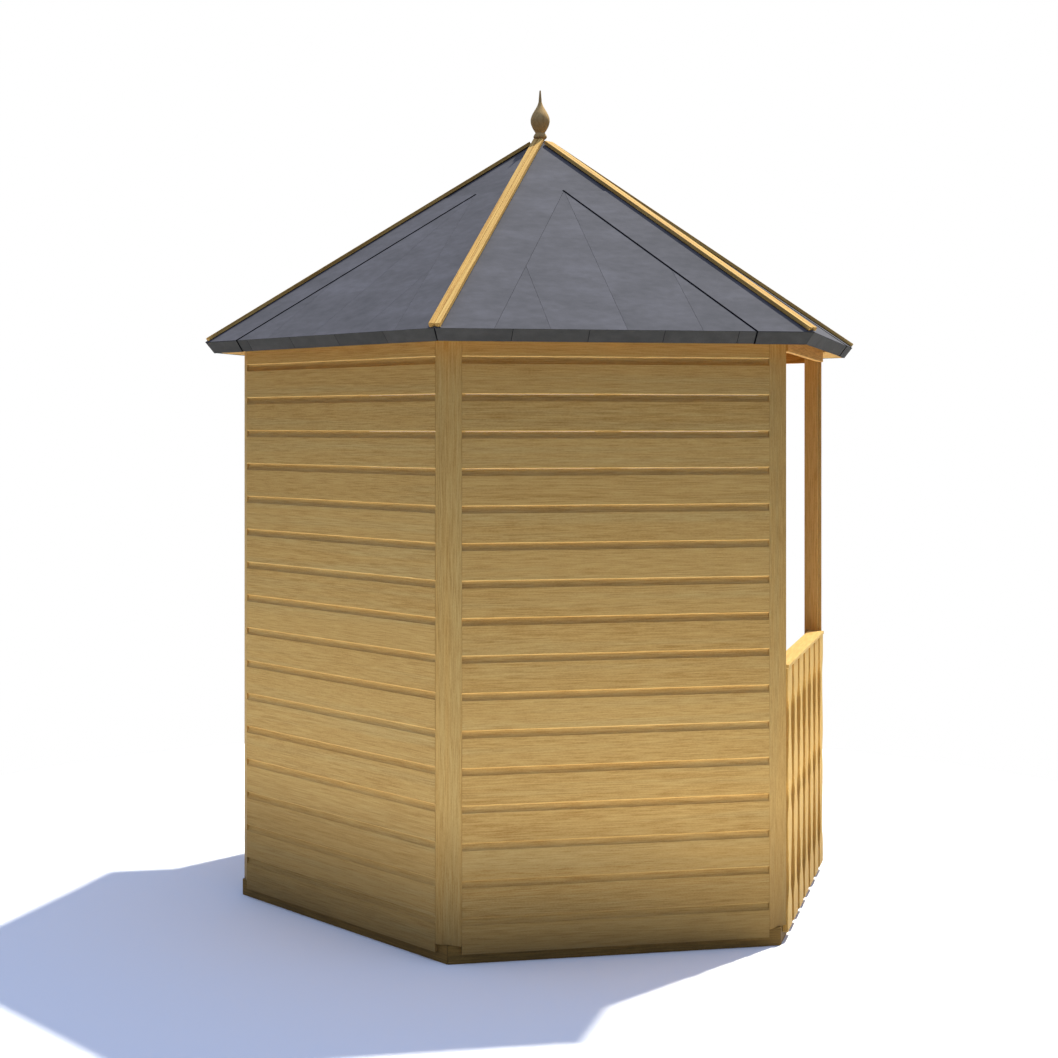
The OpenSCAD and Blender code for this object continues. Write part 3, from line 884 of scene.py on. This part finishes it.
class FeltSheets(Piece):
    """Felt of one roof face, on its slope and turned down over its fascia."""

    def __init__(self, side, facing):
        super().__init__(f"felt_{side}_sheets")
        self.place = slope_place(facing)

    def add_on_slope(self, outline, low, high, tone=PLAIN_FELT):
        self.add(extruded(outline, Z, low, high), X, self.place, ease=0, tone=tone)

    # Felt on the fascia takes the darker tone, painted shade, unless told otherwise
    def add_on_fascia(self, outline, low, high, tone=SHADED_FASCIA):
        self.add(extruded(outline, Y, low, high), X, self.place, ease=0, tone=tone)

    def add_underlay(self):
        """Dark sheet under the others, which shows in their joints."""
        slope = between(slope_outline(), Y, LAP_T, ROOF_TOP)
        self.add_on_slope(slope, -FELT_T, -FELT_T + UNDERLAY_T, BITUMEN)
        self.add_on_fascia(fascia_outline(), FELT_T - UNDERLAY_T - PLAY, FELT_T - PLAY, BITUMEN)

    def add_lap(self, hand, from_hip):
        """Sheet of the next face, lapped over the hip on black bitumen that stands out as a bead; the
        bead and the black edge under the thin skin also paint the shade line along the lap's edge.
        """
        slope = between(slope_outline(), Y, 0, BAND_TOP)
        shade_bead = clipped(slope, from_hip, LAP_SHADE_BEAD - BAND_IN)
        self.add_on_slope(clipped(slope, from_hip, -BAND_IN), -LAP_SKIN, 0)
        self.add_on_slope(shade_bead, PLAY - LAP_T, -LAP_SKIN, BITUMEN)
        fascia = fascia_outline()
        inwards = (-hand, 0)
        edge = LAP_W - HALF_EAVE
        shade_bead = clipped(fascia, inwards, edge + LAP_SHADE_BEAD)
        self.add_on_fascia(clipped(fascia, inwards, edge), 0, LAP_SKIN)
        self.add_on_fascia(shade_bead, LAP_SKIN, LAP_T - PLAY, BITUMEN)


def build_felt(side, facing):
    piece = FeltSheets(side, facing)
    piece.add_underlay()
    piece.add_on_slope(between(slope_outline(), Y, BAND_TOP, ROOF_TOP), SHEET_LOW, -LAP_T)
    lower_slope = between(slope_outline(), Y, LAP_T, BAND_TOP)
    field = lower_slope
    gaps = []
    for hand in (-1, 1):
        to_hip = (hand * math.cos(HIP_LEAN), math.sin(HIP_LEAN))
        from_hip = (-to_hip[0], -to_hip[1])
        if lapped(side, hand):
            piece.add_lap(hand, from_hip)
            gaps.append(0.0)
        else:
            piece.add_on_slope(clipped(lower_slope, from_hip, -BAND_IN), SHEET_LOW, -LAP_T)
            field = clipped(field, to_hip, BAND_IN - FELT_GAP)
            gaps.append(HIP_GAP)
    for sheet in strips(field, FELT_JOINTS, FELT_GAP):
        piece.add_on_slope(sheet, SHEET_LOW, -LAP_T)
    for sheet in strips(fascia_outline(*gaps), FASCIA_JOINTS, FASCIA_GAP):
        piece.add_on_fascia(sheet, LAP_T, FELT_T - UNDERLAY_T - 2 * PLAY)
    piece.finish("roof_felt", f"felt_{side}")


# Hip caps
def ridge_place(angle):
    """Frame on a hip: x up the hip, y level across it, z off it."""
    turn = Matrix.Rotation(math.radians(angle + 180), 4, "Z")
    return turn @ Matrix.Translation((-EAVE_R, 0, EAVE_Z)) @ Matrix.Rotation(-HIP_PITCH, 4, "Y")


def build_hip_cap(corner, angle):
    """Two flat strips side by side along a hip, bedded on it, clear of the felt at their edges."""
    piece = Piece(f"hip_cap_{corner}_strips")
    foot = CAP_W * math.tan(SECTOR)
    stop = LONG_CAP_STOP if corner in LONG_CAPS else CAP_STOP
    head = HIP_L - stop / math.cos(HIP_PITCH)
    for hand in (-1, 1):
        section = rectangle((hand * CAP_JOINT / 2, -CAP_BED), (hand * CAP_W, CAP_TOP))
        piece.add(extruded(section, X, foot, head), X, ridge_place(angle), CAP_EASE)
    piece.finish("cap_timber", f"hip_cap_{corner}")


# Apex
DOWEL_R = 0.01
DOWEL_L = 0.07
DOWEL_HOLE_R = 0.0102
FINIAL_SEAT = APEX_Z - DOWEL_HOLE_R * math.tan(PITCH) + PLAY
# The foot reaches this far down over the roof's point
FINIAL_SKIRT = 0.0055
FINIAL_SIDES = 56
FINIAL_STEPS = 16
# Heights above the seat, and the diameters there
FINIAL_FOOT = (0.001, 0.030)
FINIAL_RING = (0.0105, 0.048)
FINIAL_NECK = (0.0255, 0.033)
FINIAL_BULB = (0.069, 0.068)
FINIAL_SPIKE = (0.143, 0.0105)
FINIAL_TIP = (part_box("finial")[1].z - FINIAL_SEAT, 0.005)


def turned_edge(low, high, curve):
    """Radii and heights from one (height, diameter) to the next, without the last one."""
    edge = []
    for i in range(FINIAL_STEPS):
        share = i / FINIAL_STEPS
        edge.append((curve(low[1], high[1], share) / 2, low[0] + (high[0] - low[0]) * share))
    return edge


def swelling(low, high, share):
    """Quarter of a wave from low to high, level at its end."""
    return low + (high - low) * math.sin(math.pi / 2 * share)


def closing(low, high, share):
    """Quarter of a wave from low to high, level at its start."""
    return high + (low - high) * math.cos(math.pi / 2 * share)


def build_finial():
    piece = Piece("finial_turning")
    profile = [(DOWEL_R, -DOWEL_L), (DOWEL_R, 0), (FINIAL_FOOT[1] / 2, -FINIAL_SKIRT)]
    profile += turned_edge(FINIAL_FOOT, FINIAL_RING, swelling)
    profile += turned_edge(FINIAL_RING, FINIAL_NECK, closing)
    profile += turned_edge(FINIAL_NECK, FINIAL_BULB, swelling)
    profile += turned_edge(FINIAL_BULB, FINIAL_SPIKE, eased)
    profile += [(diameter / 2, height) for height, diameter in (FINIAL_SPIKE, FINIAL_TIP)]
    piece.turn(profile, FINIAL_SIDES, Matrix.Translation((0, 0, FINIAL_SEAT)))
    piece.finish("finial_timber", "finial")


def build_apex_block():
    piece = Piece("apex_block_timber")
    outline = hexagon(BLOCK_TOP.y)
    piece.add(extruded(outline, Z, BLOCK_LOW.z + ROOF_LIFT, BLOCK_TOP.z + ROOF_LIFT), Z)
    piece.finish("frame_timber", "apex_block")


# Stage
def add_camera():
    data = bpy.data.cameras.new("camera")
    data.sensor_width = SENSOR_MM
    data.lens = FOCAL_PX * SENSOR_MM / IMAGE_PX
    data.shift_x = (IMAGE_PX / 2 - CENTRE_PX[0]) / IMAGE_PX
    data.shift_y = (CENTRE_PX[1] - IMAGE_PX / 2) / IMAGE_PX
    data.clip_end = FAR_CLIP
    camera = add_object("camera", data)
    camera.location = EYE
    camera.rotation_euler = LOOK.to_track_quat("-Z", "Y").to_euler()
    bpy.context.scene.camera = camera


def add_sun():
    data = bpy.data.lights.new("sun", "SUN")
    data.energy = SUN_POWER
    data.angle = SUN_SPREAD
    data.color = SUN_COLOUR
    sun = add_object("sun", data)
    sun.rotation_euler = TO_SUN.to_track_quat("Z", "Y").to_euler()


def add_bounce_light(side):
    """Soft light lying on the floor in front of a wall, facing up, like a photographer's reflector."""
    data = bpy.data.lights.new(f"bounce_{side}", "AREA")
    data.shape = "RECTANGLE"
    data.size = BOUNCE_L
    data.size_y = BOUNCE_W
    data.energy = BOUNCE_POWER[side]
    bounce = add_object(f"bounce_{side}", data)
    angle = math.radians(FACINGS[side])
    reach = FACE_APOTHEM + BOUNCE_OUT[side]
    bounce.location = (reach * math.cos(angle), reach * math.sin(angle), BOUNCE_Z)
    bounce.rotation_euler = (math.pi, 0, angle + math.pi / 2)
    bounce.visible_camera = False


def add_world():
    """Soft bluish light from above, and plain white where the camera or a gloss sees it."""
    world = bpy.data.worlds.new("world")
    bpy.context.scene.world = world
    graph = Graph(world)
    direction = graph.node("ShaderNodeTexCoord").outputs["Generated"]
    height = graph.node("ShaderNodeSeparateXYZ", ((0, direction),)).outputs["Z"]
    light = graph.tree.nodes["Background"]
    graph.feed(light.inputs["Color"], SKY_COLOUR)
    graph.feed(light.inputs["Strength"], graph.spread(height, 0.0, 1.0, SKY_LOW, SKY_HIGH))
    white = graph.node("ShaderNodeBackground", (("Color", WHITE),))
    rays = graph.node("ShaderNodeLightPath").outputs
    glossy = graph.math("MAXIMUM", rays["Is Glossy Ray"], rays["Is Transmission Ray"])
    seen = graph.math("MAXIMUM", rays["Is Camera Ray"], glossy)
    inputs = ((0, seen), (1, light.outputs[0]), (2, white.outputs[0]))
    shown = graph.node("ShaderNodeMixShader", inputs).outputs[0]
    graph.feed(graph.tree.nodes["World Output"].inputs["Surface"], shown)


def add_floor():
    """Round pale floor, large enough for the whole shadow."""
    mesh = bpy.data.meshes.new("floor")
    angles = [math.tau * i / FLOOR_SIDES for i in range(FLOOR_SIDES)]
    rim = [(FLOOR_R * math.cos(angle), FLOOR_R * math.sin(angle), 0) for angle in angles]
    mesh.from_pydata(rim, [], [range(FLOOR_SIDES)])
    material = bpy.data.materials.new("pale_floor")
    Graph(material).set(Base_Color=FLOOR_COLOUR, Roughness=1.0, Specular_IOR_Level=0.0)
    mesh.materials.append(material)
    floor = add_object("floor", mesh)


bpy.context.scene.view_settings.view_transform = "Standard"
add_camera()
add_sun()
for side in BOUNCE_POWER:
    add_bounce_light(side)
add_world()
add_floor()
build_floor_frame()
build_floor_boards()
for side in ("back", "left", "right"):
    build_cladding(side, FACINGS[side])
    build_wall_frame(side, FACINGS[side])
for side in ("left", "right"):
    place = side_place(FACINGS[f"front_{side}"])
    build_panel_frame(side, place)
    build_slats(side, place)
    build_sill(side, place)
build_lintel()
for corner, angle in CORNERS.items():
    build_corner_board(corner, angle)
    build_hip_cap(corner, angle)
for side, facing in FACINGS.items():
    build_roof_panel(side, facing)
    build_felt(side, facing)
build_apex_block()
build_finial()
